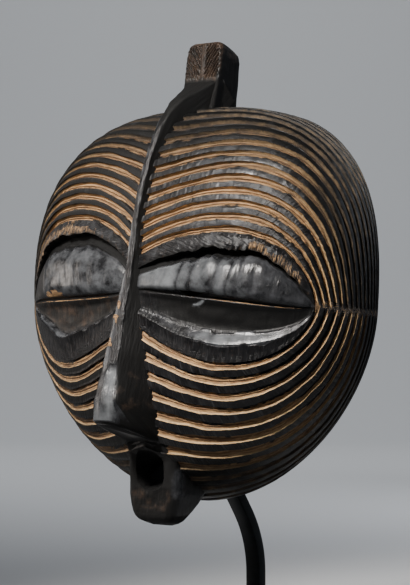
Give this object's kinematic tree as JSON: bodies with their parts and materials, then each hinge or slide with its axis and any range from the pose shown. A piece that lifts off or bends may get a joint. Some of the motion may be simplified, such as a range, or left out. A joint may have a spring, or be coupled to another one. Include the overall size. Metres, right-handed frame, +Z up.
{
  "type": "carved wooden mask on a stand",
  "caption": "Round hollow wooden mask with banded grooves, closed slit eyes, a ridge nose and a block mouth, held up on a bent flat bar with a foot plate",
  "frame": {"origin": "the middle of the foot plate's underside", "axes": "+X towards the viewer's right of the face, +Y towards the hollow back, +Z up; the face looks along -Y"},
  "size_m": [0.364, 0.2295, 0.5536],
  "materials": {
    "carved_wood": "matte",
    "stand_steel": "satin"
  },
  "bodies": {
    "root": {"mask": "carved_wood", "stand_rod": "stand_steel", "stand_foot": "stand_steel"}
  },
  "joints": []
}
